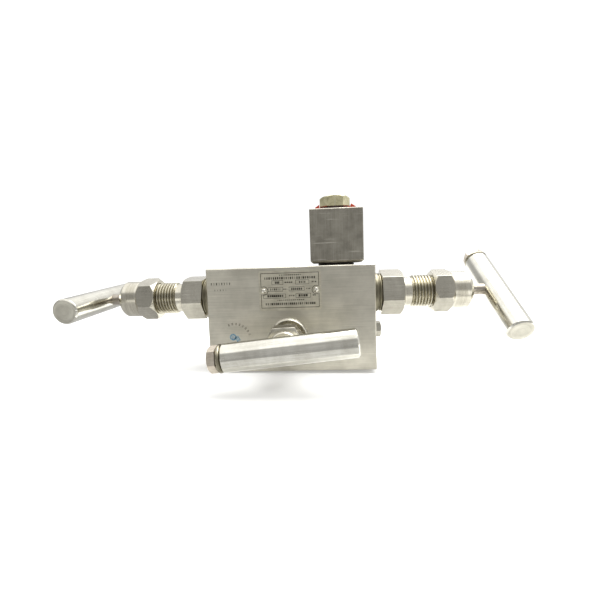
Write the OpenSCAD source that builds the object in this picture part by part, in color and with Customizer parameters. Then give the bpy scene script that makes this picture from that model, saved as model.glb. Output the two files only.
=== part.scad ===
// Three-valve instrument manifold in stainless steel.
// A drilled bar carries two block needle valves on its ends and an equaliser
// needle valve on its front, each worked by a T-bar handle. A connector block
// with a hex-head blanking plug stands on the right-hand process port.
// Origin: middle of the flat bottom face. X runs along the bar, +Y to the back,
// +Z up. Millimetres throughout.

/* [Body bar] */
// Length of the bar the body is cut from
body_w = 101.6; // [98:0.1:108]
// Thickness of the bar, front to back
body_d = 34.9; // [33:0.1:40]
// Height of the bar
body_h = 63.5; // [62:0.1:70]
// Broken edge left by the saw and file
body_edge = 0.5; // [0.2:0.1:1]
// Distance of each upper process port from the middle
port_x = 28.6; // [27:0.1:30]
// Distance of each lower instrument port from the middle
instrument_x = 27; // [26:0.1:28]
// Diameter of the threaded ports
port_d = 17.1; // [15:0.1:18]
// Depth of the threaded ports
port_depth = 11.5; // [9:0.1:12]
// How much deeper the right-hand instrument port is drilled
right_port_extra = 1; // [0:0.1:2]
// Diameter of the drilled flow passages
passage_d = 5; // [4:0.1:5.5]

/* [Mounting holes] */
// Distance between the two tapped holes in the back
mount_spacing = 40; // [36:0.5:42]
// Diameter of each tapped hole
mount_hole_d = 6.8; // [6:0.1:8.5]
// Depth of each tapped hole
mount_hole_depth = 10; // [8:0.5:11]

/* [Block valves] */
// Height of the two block valves' axes above the bottom face
block_valve_z = 45.5; // [44:0.1:46]
// Bonnet hexagon across flats
bonnet_af = 25.2; // [24:0.1:25.4]
// Packing nut hexagon across flats
nut_af = 23.7; // [23.4:0.1:25]
// Distance from the body's end to the handle's axis
block_handle_reach = 75.8; // [75:0.1:84]
// Turn of the left handle from pointing straight forwards
left_handle_turn = 5; // [0:1:360]
// Turn of the right handle from pointing straight forwards
right_handle_turn = 34.3; // [0:0.1:360]

/* [Equaliser valve] */
// Sideways place of the equaliser valve's axis
equaliser_x = -1.4; // [-3:0.1:2]
// Height of the equaliser valve's axis above the bottom face
equaliser_z = 21.4; // [20:0.1:23]
// Packing nut hexagon across flats
equaliser_nut_af = 20.4; // [19.5:0.1:21.5]
// Distance from the front face to the handle's axis
equaliser_handle_reach = 37.8; // [37.8:0.1:45]
// Turn of the equaliser handle from level
equaliser_handle_turn = 5.6; // [0:0.1:360]

/* [Handles] */
// Diameter of each T-bar
bar_d = 14.8; // [12.5:0.1:15.5]
// Length of each T-bar
bar_len = 68.6; // [60:0.1:80]
// Distance from the middle of the bar to the stem, towards the bolt
bar_offset = 3.6; // [0:0.1:5]
// Clamp bolt head across flats
bolt_af = 12.3; // [10:0.1:13]
// Clamp bolt head thickness
bolt_head = 4.2; // [3.5:0.1:6]

/* [Connector block] */
// Width of the connector block
connector_w = 31.6; // [28:0.1:32]
// Depth of the connector block, front to back
connector_d = 32; // [28:0.1:34]
// Height of the connector block
connector_h = 32.1; // [28:0.1:36]
// Gap between the body and the connector block
connector_gap = 1.4; // [1:0.1:4]
// Blanking plug head across flats
plug_af = 16.4; // [14:0.1:17]

/* [Hidden] */
$fn = 96;

stainless = "#8e8c84";
dark_steel = "#6d6a62";
bright_steel = "#b9b8ae";
plated_steel = "#a09a70";
graphite = "#2c2c2c";
orange_plastic = "#c8553a";
brown_rubber = "#4a2f28";

// Fits: radial play between turned pieces that are screwed together and stay
// put, and between the turning stem and what it runs in
fixed_play = 0.03;
run_play = 0.05;

// Every valve is one list of sizes. Distances run outwards along the valve's
// axis from the body face it screws into, and are negative inside the body.
block_valve = [
    ["socket_d", 19], ["socket_depth", 12], ["gasket_t", 1.2],
    ["chamber_d", 12], ["seat_face", -20.3], ["seat_t", 3.4], ["orifice_d", 4.8],
    ["ring_od", 24.7], ["ring_end", 5.2],
    ["hex_af", bonnet_af], ["hex_end", 18.6],
    ["neck_d", 18.2], ["neck_end", 23.6],
    ["thread_d", 20.1], ["pitch", 1.814], ["bonnet_end", 42.5],
    ["box_d", 12.7], ["box_start", 24.5], ["packing_end", 36.2], ["rings", 4],
    ["nut_start", 36.4], ["nut_af", nut_af], ["nut_hex_end", 48.3],
    ["nut_steep", 1.1],
    ["cap_d", 23.1], ["cap_end", 59.5],
    ["stem_d", 7], ["screw_d", 9.5], ["screw_start", -4], ["screw_end", 12.5],
    ["backseat", 18], ["spindle_d", 8], ["spindle_start", -16],
    ["reach", block_handle_reach]
];
equaliser_valve = [
    ["socket_d", 17], ["socket_depth", 8], ["gasket_t", 1],
    ["chamber_d", 10], ["seat_face", -13], ["seat_t", 2.5], ["orifice_d", 4],
    ["ring_od", 23], ["ring_end", 5.2],
    ["hex_af", 0], ["hex_end", 5.2],
    ["neck_d", 14.8], ["neck_end", 7.4],
    ["thread_d", 16.5], ["pitch", 1.5], ["bonnet_end", 23],
    ["box_d", 11], ["box_start", 9.5], ["packing_end", 17.3], ["rings", 3],
    ["nut_start", 17.5], ["nut_af", equaliser_nut_af], ["nut_hex_end", 28.8],
    ["nut_steep", 0.45],
    ["cap_d", 16.5], ["cap_end", 30.3],
    ["stem_d", 7], ["screw_d", 8.6], ["screw_start", -5], ["screw_end", 2.6],
    ["backseat", 6.4], ["spindle_d", 7], ["spindle_start", -9.7],
    ["reach", equaliser_handle_reach]
];
function size_of(valve, key) = valve[search([key], valve, 1, 0)[0]][1];

// Needle: collar, then a cone whose flank closes the orifice's edge
needle_slope = 0.72;
needle_tip_r = 0.7;
seat_clear = 0.025;
stud_d = 4.4;
stud_len = 3.4;

// Handles: the bolt's head stands bar_end_gap off its washer, and the stem
// enters the bar handle_hole past its middle
bar_end_gap = 0.5;
washer_t = 1.9;
bolt_shank_d = 6;
bar_edge = 0.9;
handle_hole = 3.6;

// Connector, its nipple and the plug in its top
connector_z = body_h + connector_gap;
connector_top = connector_z + connector_h;
connector_edge = 0.5;
connector_foot = 1.3;
nipple_bore = 7;
nipple_start = body_h - port_depth + 1.5;
nipple_end = connector_z + 9;
nipple_lead = 0.6;
gasket_r = 11.3;
plug_thread_d = 15;
plug_bottom = connector_top + 2.4;
plug_head = 6.4;
strip_w = 14;
strip_r = 12.4;
strip_t = 1.3;
strip_fold = 9.7;
strip_rise = 3.6;
strip_tip = 1.8;
seal_r = 8.2;

// Vent plug in the right end
vent_y = 3;
vent_d = 6.6;
vent_af = 9.3;
vent_head = 5.6;
vent_depth = 8;

// Nameplate and its two rivets
rivet_x = 15.75;
rivet_z = 49.4;
rivet_hole_d = 1.9;
plate_w = 37.5;
plate_h = 23.8;
plate_t = 0.5;
plate_z = 49.3;

// ---- shared shapes -------------------------------------------------------

// A hexagonal prism standing on z = 0, one flat facing +X
module hex_bar(af, h) rotate([0, 0, 30]) cylinder(d = af / cos(30), h = h, $fn = 6);

// A turned solid from its half outline
module turned(outline) rotate_extrude() polygon(outline);

// A hexagon between z0 and z1 with its corners turned off at either end. One
// flat faces turn degrees from +X, and steep is the chamfer's fall over its run
module hex_head(af, z0, z1, turn = 0, low = true, high = true, steep = 0.55) {
    corner_r = af / cos(30) / 2 + 0.01;
    flat_r = af / 2 * 0.985;
    cut = (corner_r - flat_r) * steep;
    rotate([0, 0, turn]) intersection() {
        translate([0, 0, z0]) hex_bar(af, z1 - z0);
        turned([
            [0, z0], [low ? flat_r : corner_r, z0], [corner_r, low ? z0 + cut : z0],
            [corner_r, high ? z1 - cut : z1], [high ? flat_r : corner_r, z1], [0, z1]
        ]);
    }
}

// Half outline of an external thread, as V-shaped rings, from z0 to z1. Each
// ring runs root, crest, crest, root, at these shares of the pitch
thread_depth = 0.58;
thread_steps = [0.02, 0.42, 0.58, 0.98];
function thread_outline(r, pitch, z0, z1) = [
    for (i = [0 : floor((z1 - z0) / pitch) - 1], k = [0 : 3])
        [k == 0 || k == 3 ? r - thread_depth * pitch : r, z0 + (i + thread_steps[k]) * pitch]
];

// Puts a valve's pieces on their face, with the valve's axis along +Z
module on_left() translate([-body_w / 2, 0, block_valve_z]) rotate([0, -90, 0]) children();
module on_right() translate([body_w / 2, 0, block_valve_z]) rotate([0, 90, 0]) children();
module on_front() translate([equaliser_x, -body_d / 2, equaliser_z]) rotate([90, 0, 0]) children();

// ---- pieces of one valve -------------------------------------------------

// The hole in the body that takes the bonnet, gasket and seat
module valve_hole(valve) {
    depth = size_of(valve, "socket_depth");
    gasket_t = size_of(valve, "gasket_t");
    seat_back = size_of(valve, "seat_face") - size_of(valve, "seat_t");
    translate([0, 0, -depth - gasket_t])
        cylinder(d = size_of(valve, "socket_d") + 2 * fixed_play, h = depth + gasket_t + 1);
    translate([0, 0, seat_back])
        cylinder(d = size_of(valve, "chamber_d") + 2 * fixed_play, h = -seat_back - 1);
}

// Bonnet: threaded spigot, hexagon, neck and packing box in one turned piece
module bonnet(valve, turn) {
    spigot_r = size_of(valve, "socket_d") / 2;
    ring_end = size_of(valve, "ring_end");
    neck_r = size_of(valve, "neck_d") / 2;
    thread_r = size_of(valve, "thread_d") / 2;
    hex_end = size_of(valve, "hex_end");
    spigot_end = max(ring_end, hex_end - 2);
    neck_end = size_of(valve, "neck_end");
    end = size_of(valve, "bonnet_end");
    pitch = size_of(valve, "pitch");
    screw_r = size_of(valve, "screw_d") / 2;
    stem_r = size_of(valve, "stem_d") / 2 + run_play;
    backseat = size_of(valve, "backseat");
    cone = screw_r - stem_r;
    color(stainless) difference() {
        union() {
            translate([0, 0, -size_of(valve, "socket_depth")])
                cylinder(r = spigot_r, h = size_of(valve, "socket_depth") + spigot_end);
            if (size_of(valve, "hex_af") > 0)
                hex_head(size_of(valve, "hex_af"), ring_end, hex_end, turn, false, true);
            turned(concat(
                [[0, spigot_end - 1], [neck_r, spigot_end - 1], [neck_r, neck_end]],
                thread_outline(thread_r, pitch, neck_end, end),
                [[thread_r - thread_depth * pitch, end], [0, end]]
            ));
        }
        translate([0, 0, -size_of(valve, "socket_depth") - 1])
            cylinder(r = screw_r + run_play, h = backseat + size_of(valve, "socket_depth") + 1);
        turned([
            [0, backseat - 0.01], [screw_r + run_play, backseat - 0.01],
            [stem_r, backseat + cone], [stem_r, end + 1], [0, end + 1]
        ]);
        translate([0, 0, size_of(valve, "box_start")])
            cylinder(d = size_of(valve, "box_d"), h = end);
    }
}

// Round lock ring between the bonnet and the body face, with a turned groove
module lock_ring(valve) {
    inner = size_of(valve, "socket_d") / 2 + fixed_play;
    outer = size_of(valve, "ring_od") / 2;
    end = size_of(valve, "ring_end");
    color(dark_steel) turned([
        [inner, 0], [outer - 0.4, 0], [outer, 0.4], [outer, end * 0.55],
        [outer - 0.8, end * 0.62], [outer - 0.8, end * 0.72], [outer - 0.3, end * 0.78],
        [outer - 0.3, end - 0.5], [outer - 0.8, end], [inner, end]
    ]);
}

// Flat gasket crushed at the bottom of the bonnet's socket
module bonnet_gasket(valve) {
    depth = size_of(valve, "socket_depth");
    gasket_t = size_of(valve, "gasket_t");
    color(graphite) turned([
        [size_of(valve, "chamber_d") / 2, -depth - gasket_t],
        [size_of(valve, "socket_d") / 2, -depth - gasket_t],
        [size_of(valve, "socket_d") / 2, -depth],
        [size_of(valve, "chamber_d") / 2, -depth]
    ]);
}

// Seat insert with the orifice that the needle closes
module seat(valve) {
    face = size_of(valve, "seat_face");
    back = face - size_of(valve, "seat_t");
    outer = size_of(valve, "chamber_d") / 2;
    hole = size_of(valve, "orifice_d") / 2;
    color(bright_steel) turned([
        [hole, back], [outer, back], [outer, face - 0.4], [outer - 0.4, face], [hole, face]
    ]);
}

// Packing rings in the box round the stem
module packing(valve) {
    z0 = size_of(valve, "box_start");
    z1 = size_of(valve, "packing_end");
    count = size_of(valve, "rings");
    step = (z1 - z0) / count;
    inner = size_of(valve, "stem_d") / 2 + run_play;
    outer = size_of(valve, "box_d") / 2 - fixed_play;
    color(graphite) for (i = [0 : count - 1]) turned([
        [inner, z0 + i * step + 0.02], [outer, z0 + i * step + 0.02],
        [outer, z0 + (i + 1) * step - 0.02], [inner, z0 + (i + 1) * step - 0.02]
    ]);
}

// Bush that carries the packing nut's push to the packing
module gland_follower(valve) {
    z0 = size_of(valve, "packing_end");
    z1 = size_of(valve, "bonnet_end") + 0.6;
    inner = size_of(valve, "stem_d") / 2 + run_play;
    outer = size_of(valve, "box_d") / 2 - fixed_play;
    color(bright_steel) turned([[inner, z0], [outer, z0], [outer, z1], [inner, z1]]);
}

// Packing nut: chamfered hexagon with a round cap turned on its outer end
module packing_nut(valve, turn) {
    start = size_of(valve, "nut_start");
    hex_end = size_of(valve, "nut_hex_end");
    cap_end = size_of(valve, "cap_end");
    cap_r = size_of(valve, "cap_d") / 2;
    bevel = min(1.8, (cap_end - hex_end) * 0.6);
    color(stainless) difference() {
        union() {
            hex_head(
                size_of(valve, "nut_af"), start, hex_end, turn, true, true, size_of(valve, "nut_steep")
            );
            turned([
                [0, hex_end - 0.5], [cap_r, hex_end - 0.5], [cap_r, cap_end - bevel],
                [cap_r - bevel * 0.8, cap_end], [0, cap_end]
            ]);
        }
        translate([0, 0, start - 1])
            cylinder(
                d = size_of(valve, "thread_d") + 2 * fixed_play,
                h = size_of(valve, "bonnet_end") + 0.6 - start + 1
            );
        cylinder(d = size_of(valve, "stem_d") + 2 * run_play, h = cap_end + 1);
    }
}

// Stem: spindle, screw, polished shank up into the handle
module stem(valve) {
    spindle_r = size_of(valve, "spindle_d") / 2;
    spindle_start = size_of(valve, "spindle_start");
    screw_r = size_of(valve, "screw_d") / 2;
    screw_start = size_of(valve, "screw_start");
    screw_end = size_of(valve, "screw_end");
    stem_r = size_of(valve, "stem_d") / 2;
    tip = size_of(valve, "reach") + handle_hole - 0.1;
    cone = screw_r - stem_r;
    color(bright_steel) difference() {
        turned([
            [0, spindle_start], [spindle_r, spindle_start], [spindle_r, screw_start],
            [screw_r, screw_start + 0.3], [screw_r, screw_end], [stem_r, screw_end + cone],
            [stem_r, tip - 0.4], [stem_r - 0.4, tip], [0, tip]
        ]);
        translate([0, 0, spindle_start - 1])
            cylinder(d = stud_d + 2 * run_play, h = stud_len + 1.2);
    }
}

// Needle: a swivelling point that does not turn with the stem
module needle(valve) {
    collar_r = size_of(valve, "spindle_d") / 2;
    top = size_of(valve, "spindle_start") - run_play;
    edge_r = size_of(valve, "orifice_d") / 2 - seat_clear;
    shoulder = size_of(valve, "seat_face") + (collar_r - edge_r) / needle_slope;
    point = shoulder - (collar_r - needle_tip_r) / needle_slope;
    color(bright_steel) turned([
        [0, point], [needle_tip_r, point], [collar_r, shoulder], [collar_r, top],
        [stud_d / 2, top], [stud_d / 2, top + stud_len], [0, top + stud_len]
    ]);
}

// Puts a handle piece on the valve's axis, with the bar's plain end along +X
module on_handle(valve, turn)
    translate([0, 0, size_of(valve, "reach")]) rotate([0, 0, turn])
        translate([bar_offset, 0, 0]) rotate([0, 90, 0]) children();

// T-bar: round bar, cross-drilled for the stem and tapped for the clamp bolt
module handle_bar(valve, turn) {
    half = bar_len / 2;
    r = bar_d / 2;
    color(stainless) on_handle(valve, turn) difference() {
        turned([
            [0, -half], [r - bar_edge, -half], [r, -half + bar_edge],
            [r, half - bar_edge], [r - bar_edge, half], [0, half]
        ]);
        translate([0, 0, -half - 1])
            cylinder(d = bolt_shank_d + 2 * fixed_play, h = half + 1 - bar_offset);
        translate([0, 0, -bar_offset]) rotate([0, -90, 0])
            translate([0, 0, -bar_d])
                cylinder(
                    d = size_of(valve, "stem_d") + 2 * fixed_play,
                    h = bar_d + handle_hole
                );
    }
}

// Spring washer under the clamp bolt's head
module handle_washer(valve, turn) {
    z1 = -bar_len / 2;
    z0 = z1 - washer_t;
    r = bar_d / 2;
    inner = bolt_shank_d / 2 + fixed_play;
    color(dark_steel) on_handle(valve, turn) turned([
        [inner, z0], [r - 0.5, z0], [r, z0 + 0.5], [r, z1 - 0.5], [r - 0.5, z1], [inner, z1]
    ]);
}

// Clamp bolt that locks the bar on the stem
module handle_bolt(valve, turn, hex_turn = 0) {
    seat_z = -bar_len / 2 - washer_t;
    collar_z = seat_z - bar_end_gap;
    tip = -bar_offset - size_of(valve, "stem_d") / 2 - fixed_play;
    color(plated_steel) on_handle(valve, turn) {
        hex_head(bolt_af, collar_z - bolt_head, collar_z, hex_turn, true, false);
        translate([0, 0, collar_z - 0.1]) cylinder(d = bolt_af * 0.9, h = bar_end_gap + 0.1);
        translate([0, 0, seat_z - 0.1]) cylinder(d = bolt_shank_d, h = tip - seat_z + 0.1);
    }
}

// ---- body and what is fixed to it ---------------------------------------

// Bar with every edge broken: three bevelled prisms crossed
module bevelled_foot(w, h, edge, foot) polygon([
    [foot - w / 2, -h / 2], [w / 2 - foot, -h / 2], [w / 2, foot - h / 2], [w / 2, h / 2 - edge],
    [w / 2 - edge, h / 2], [edge - w / 2, h / 2], [-w / 2, h / 2 - edge], [-w / 2, foot - h / 2]
]);
module broken_block(w, d, h, edge, foot) {
    intersection() {
        translate([0, 0, h / 2]) linear_extrude(height = h, center = true) bevelled(w, d, edge);
        translate([0, 0, h / 2]) rotate([90, 0, 0])
            linear_extrude(height = d, center = true) bevelled_foot(w, h, edge, foot);
        translate([0, 0, h / 2]) rotate([90, 0, 90])
            linear_extrude(height = w, center = true) bevelled_foot(d, h, edge, foot);
    }
}
module bevelled(w, h, edge)
    polygon([for (c = [[1, 1], [-1, 1], [-1, -1], [1, -1]], k = [0, 1])
        let (first = (c[0] * c[1] > 0) == (k == 0))
        [c[0] * (w / 2 - (first ? 0 : edge)), c[1] * (h / 2 - (first ? edge : 0))]]);

// Drilled way from one point to another
module drilled(from, to, d = passage_d) {
    way = to - from;
    length = norm(way);
    translate(from)
        rotate([0, acos(way[2] / length), atan2(way[1], way[0])])
            cylinder(d = d, h = length);
}

module manifold_body() {
    inner_x = body_w / 2 + size_of(block_valve, "seat_face") - size_of(block_valve, "seat_t");
    down_x = inner_x - passage_d / 2 - 0.4;
    chamber_x = inner_x + size_of(block_valve, "seat_t") + 3.8;
    seat_back_y = -body_d / 2 - size_of(equaliser_valve, "seat_face")
        + size_of(equaliser_valve, "seat_t");
    color(stainless) difference() {
        broken_block(body_w, body_d, body_h, body_edge, body_edge);
        on_left() valve_hole(block_valve);
        on_right() valve_hole(block_valve);
        on_front() valve_hole(equaliser_valve);
        for (side = [-1, 1]) {
            // process port above, instrument port below
            translate([side * port_x, 0, body_h - port_depth]) cylinder(d = port_d, h = port_depth + 1);
            translate([side * instrument_x, 0, -1])
                cylinder(d = port_d, h = port_depth + 1 + (side > 0 ? right_port_extra : 0));
            // process port down into the valve chamber
            drilled([side * chamber_x, 0, body_h - port_depth + 1], [side * chamber_x, 0, block_valve_z]);
            // orifice inwards, then down to the instrument port
            drilled([side * (inner_x + 1), 0, block_valve_z], [side * down_x, 0, block_valve_z],
                size_of(block_valve, "orifice_d"));
            drilled([side * down_x, 0, block_valve_z + 2], [side * down_x, 0, port_depth - 1]);
        }
        // cross passage from the right end to behind the equaliser seat
        drilled([body_w / 2 + 1, vent_y, equaliser_z], [equaliser_x, vent_y, equaliser_z]);
        drilled([equaliser_x, vent_y, equaliser_z], [equaliser_x, seat_back_y - 1, equaliser_z],
            size_of(equaliser_valve, "orifice_d"));
        // slanted passage from the equaliser chamber to the left-hand side
        drilled([equaliser_x, seat_back_y - 7, equaliser_z], [-down_x, 0, equaliser_z], 4);
        // counterbore of the vent plug
        translate([body_w / 2 - vent_depth, vent_y, equaliser_z]) rotate([0, 90, 0])
            cylinder(d = vent_d, h = vent_depth + 1);
        // tapped mounting holes in the back
        for (side = [-1, 1])
            translate([side * mount_spacing / 2, body_d / 2 - mount_hole_depth, body_h / 2])
                rotate([-90, 0, 0]) cylinder(d = mount_hole_d, h = mount_hole_depth + 1);
        // holes of the two nameplate rivets
        for (side = [-1, 1])
            translate([side * rivet_x, -body_d / 2 + 4.2, rivet_z])
                rotate([90, 0, 0]) cylinder(d = rivet_hole_d, h = 6);
    }
}

// Hex-head plug that closes the cross passage
module vent_plug() color(bright_steel)
    translate([body_w / 2, vent_y, equaliser_z]) rotate([0, 90, 0]) {
        hex_head(vent_af, 0.01, vent_head, 8, false, true);
        translate([0, 0, 0.5 - vent_depth]) cylinder(d = vent_d - 2 * fixed_play, h = vent_depth - 0.4);
    }

// Thin etched plate on the front, held by two round-head drive rivets
module nameplate() color(bright_steel) difference() {
    translate([0, -body_d / 2, plate_z]) rotate([90, 0, 0])
        linear_extrude(height = plate_t) bevelled(plate_w, plate_h, 1);
    for (side = [-1, 1])
        translate([side * rivet_x, -body_d / 2 + 1, rivet_z]) rotate([90, 0, 0])
            cylinder(d = rivet_hole_d, h = 3);
}
module nameplate_rivets() color(bright_steel) for (side = [-1, 1])
    translate([side * rivet_x, -body_d / 2 - plate_t, rivet_z]) rotate([90, 0, 0]) turned([
        [0, -4.5], [0.9, -4.5], [0.9, 0], [1.6, 0], [1.5, 0.5], [1.1, 0.95], [0.5, 1.2], [0, 1.25]
    ]);

// ---- connector on the right-hand process port ----------------------------

module at_connector() translate([port_x, 0, 0]) children();

// Square block with a threaded socket at either end
module connector_block() color(dark_steel) at_connector() difference() {
    translate([0, 0, connector_z]) 
        broken_block(connector_w, connector_d, connector_h, connector_edge, connector_foot);
    translate([0, 0, connector_z - 1]) cylinder(d = port_d, h = 11);
    translate([0, 0, connector_z]) cylinder(d = nipple_bore, h = connector_h);
    translate([0, 0, connector_top - 11]) cylinder(d = plug_thread_d, h = 12);
}
// Hollow nipple that joins the block to the body's port
module connector_nipple() color(stainless) at_connector() turned([
    [nipple_bore / 2, nipple_start], [port_d / 2 - nipple_lead, nipple_start],
    [port_d / 2 - fixed_play, nipple_start + nipple_lead],
    [port_d / 2 - fixed_play, nipple_end - nipple_lead], [port_d / 2 - nipple_lead, nipple_end],
    [nipple_bore / 2, nipple_end]
]);
// Ring squeezed between the body and the block
module connector_gasket() color(graphite) at_connector() turned([
    [port_d / 2 + fixed_play, body_h], [gasket_r - 0.3, body_h], [gasket_r, body_h + 0.6],
    [gasket_r, connector_z - 0.6], [gasket_r - 0.3, connector_z],
    [port_d / 2 + fixed_play, connector_z]
]);
// Plug that shuts the block's upper socket
module blanking_plug() color(plated_steel) at_connector() {
    hex_head(plug_af, plug_bottom, plug_bottom + plug_head, 90, false, true, 0.5);
    translate([0, 0, connector_top - 9.5])
        cylinder(d = plug_thread_d - 2 * fixed_play, h = plug_bottom - connector_top + 9.6);
}
// Plastic washer under the plug: a strip whose two ends fold up beside the hexagon
module plug_washer() color(orange_plastic) at_connector() difference() {
    translate([0, strip_w / 2, connector_top]) rotate([90, 0, 0]) linear_extrude(strip_w) polygon([
        [-strip_r, 0], [strip_r, 0], [strip_r, strip_tip],
        [strip_fold, strip_rise], [strip_fold - 0.1, strip_t], [0.1 - strip_fold, strip_t],
        [-strip_fold, strip_rise], [-strip_r, strip_tip]
    ]);
    translate([0, 0, connector_top - 1])
        cylinder(d = plug_thread_d + 2 * fixed_play, h = strip_rise + 2);
}
// Flat sealing ring between the washer strip and the plug's head
module plug_seal() color(brown_rubber) at_connector() turned([
    [plug_thread_d / 2 + fixed_play, connector_top + strip_t],
    [seal_r, connector_top + strip_t], [seal_r, plug_bottom],
    [plug_thread_d / 2 + fixed_play, plug_bottom]
]);

// ---- every piece, by name ------------------------------------------------

manifold_body();
nameplate();
nameplate_rivets();
vent_plug();

left_turn = 270 - left_handle_turn;
on_left() bonnet(block_valve, -70.5);  // left_bonnet
on_left() lock_ring(block_valve);  // left_lock_ring
on_left() bonnet_gasket(block_valve);  // left_bonnet_gasket
on_left() seat(block_valve);  // left_seat
on_left() packing(block_valve);  // left_packing
on_left() gland_follower(block_valve);  // left_gland_follower
on_left() packing_nut(block_valve, -79.3);  // left_packing_nut
on_left() stem(block_valve);  // left_stem
on_left() needle(block_valve);  // left_needle
on_left() handle_bar(block_valve, left_turn);  // left_handle_bar
on_left() handle_washer(block_valve, left_turn);  // left_handle_washer
on_left() handle_bolt(block_valve, left_turn);  // left_handle_bolt

right_turn = -90 + right_handle_turn;
on_right() bonnet(block_valve, -102.7);  // right_bonnet
on_right() lock_ring(block_valve);  // right_lock_ring
on_right() bonnet_gasket(block_valve);  // right_bonnet_gasket
on_right() seat(block_valve);  // right_seat
on_right() packing(block_valve);  // right_packing
on_right() gland_follower(block_valve);  // right_gland_follower
on_right() packing_nut(block_valve, -104);  // right_packing_nut
on_right() stem(block_valve);  // right_stem
on_right() needle(block_valve);  // right_needle
on_right() handle_bar(block_valve, right_turn);  // right_handle_bar
on_right() handle_washer(block_valve, right_turn);  // right_handle_washer
on_right() handle_bolt(block_valve, right_turn);  // right_handle_bolt

front_turn = equaliser_handle_turn;
on_front() bonnet(equaliser_valve, 0);  // equaliser_bonnet
on_front() lock_ring(equaliser_valve);  // equaliser_lock_ring
on_front() bonnet_gasket(equaliser_valve);  // equaliser_bonnet_gasket
on_front() seat(equaliser_valve);  // equaliser_seat
on_front() packing(equaliser_valve);  // equaliser_packing
on_front() gland_follower(equaliser_valve);  // equaliser_gland_follower
on_front() packing_nut(equaliser_valve, 92);  // equaliser_packing_nut
on_front() stem(equaliser_valve);  // equaliser_stem
on_front() needle(equaliser_valve);  // equaliser_needle
on_front() handle_bar(equaliser_valve, front_turn);  // equaliser_handle_bar
on_front() handle_washer(equaliser_valve, front_turn);  // equaliser_handle_washer
on_front() handle_bolt(equaliser_valve, front_turn, -16);  // equaliser_handle_bolt

connector_block();
connector_nipple();
connector_gasket();
blanking_plug();
plug_washer();
plug_seal();
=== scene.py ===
import math

import bmesh
import bpy
from mathutils import Matrix, Vector


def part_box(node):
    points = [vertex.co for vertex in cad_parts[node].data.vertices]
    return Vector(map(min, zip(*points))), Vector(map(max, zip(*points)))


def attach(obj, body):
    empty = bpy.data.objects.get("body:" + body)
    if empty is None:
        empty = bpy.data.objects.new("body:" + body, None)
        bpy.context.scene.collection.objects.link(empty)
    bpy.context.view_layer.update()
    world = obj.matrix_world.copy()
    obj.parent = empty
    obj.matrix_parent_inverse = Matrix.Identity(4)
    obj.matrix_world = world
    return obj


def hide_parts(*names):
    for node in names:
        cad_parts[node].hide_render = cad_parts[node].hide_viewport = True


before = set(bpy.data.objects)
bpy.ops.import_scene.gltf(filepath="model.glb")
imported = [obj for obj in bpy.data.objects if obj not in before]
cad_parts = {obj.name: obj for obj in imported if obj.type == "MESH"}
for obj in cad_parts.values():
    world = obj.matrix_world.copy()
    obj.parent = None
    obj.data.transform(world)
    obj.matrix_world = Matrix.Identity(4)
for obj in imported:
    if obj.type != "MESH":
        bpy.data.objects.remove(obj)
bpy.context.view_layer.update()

MM = 0.001
scene = bpy.context.scene

# ---- Camera ---------------------------------------------------------------
# A plain still camera close to the table, aimed a little down and to the left
# along the valve body, with a wide lens.
lens = bpy.data.cameras.new("camera")
lens.lens = 21.05
lens.sensor_width = 36
lens.clip_start = 0.01
camera = bpy.data.objects.new("camera", lens)
scene.collection.objects.link(camera)
camera.location = Vector((18.751, -226.221, 62.441)) * MM
camera.rotation_euler = [math.radians(angle) for angle in (84.79, 1.926, 3.370)]
scene.camera = camera

# ---- Manifold body --------------------------------------------------------
# A length of cold-drawn 316 stainless bar, sawn off, linished along its long
# faces on a belt and drilled from every side. The drawn corners are broken
# with a file, so every edge carries a thin bright line.


def linear(colour):
    """A hex sRGB colour as linear red, green, blue and alpha."""
    parts = [int(colour[i:i + 2], 16) / 255 for i in (1, 3, 5)]
    return [c / 12.92 if c <= 0.04045 else ((c + 0.055) / 1.055) ** 2.4 for c in parts] + [1.0]


def add(tree, kind, inputs=(), **settings):
    """Adds a node. Inputs go by place or name, each a value, a node or (node, output)."""
    node = tree.nodes.new(kind)
    for name, value in settings.items():
        setattr(node, name, value)
    for key, value in inputs.items() if isinstance(inputs, dict) else enumerate(inputs):
        if isinstance(value, bpy.types.Node):
            value = (value, 0)
        if isinstance(value, tuple) and isinstance(value[0], bpy.types.Node):
            tree.links.new(value[0].outputs[value[1]], node.inputs[key])
        elif value is not None:
            node.inputs[key].default_value = value
    return node


BARE_METAL = "#e2ded2"


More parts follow.
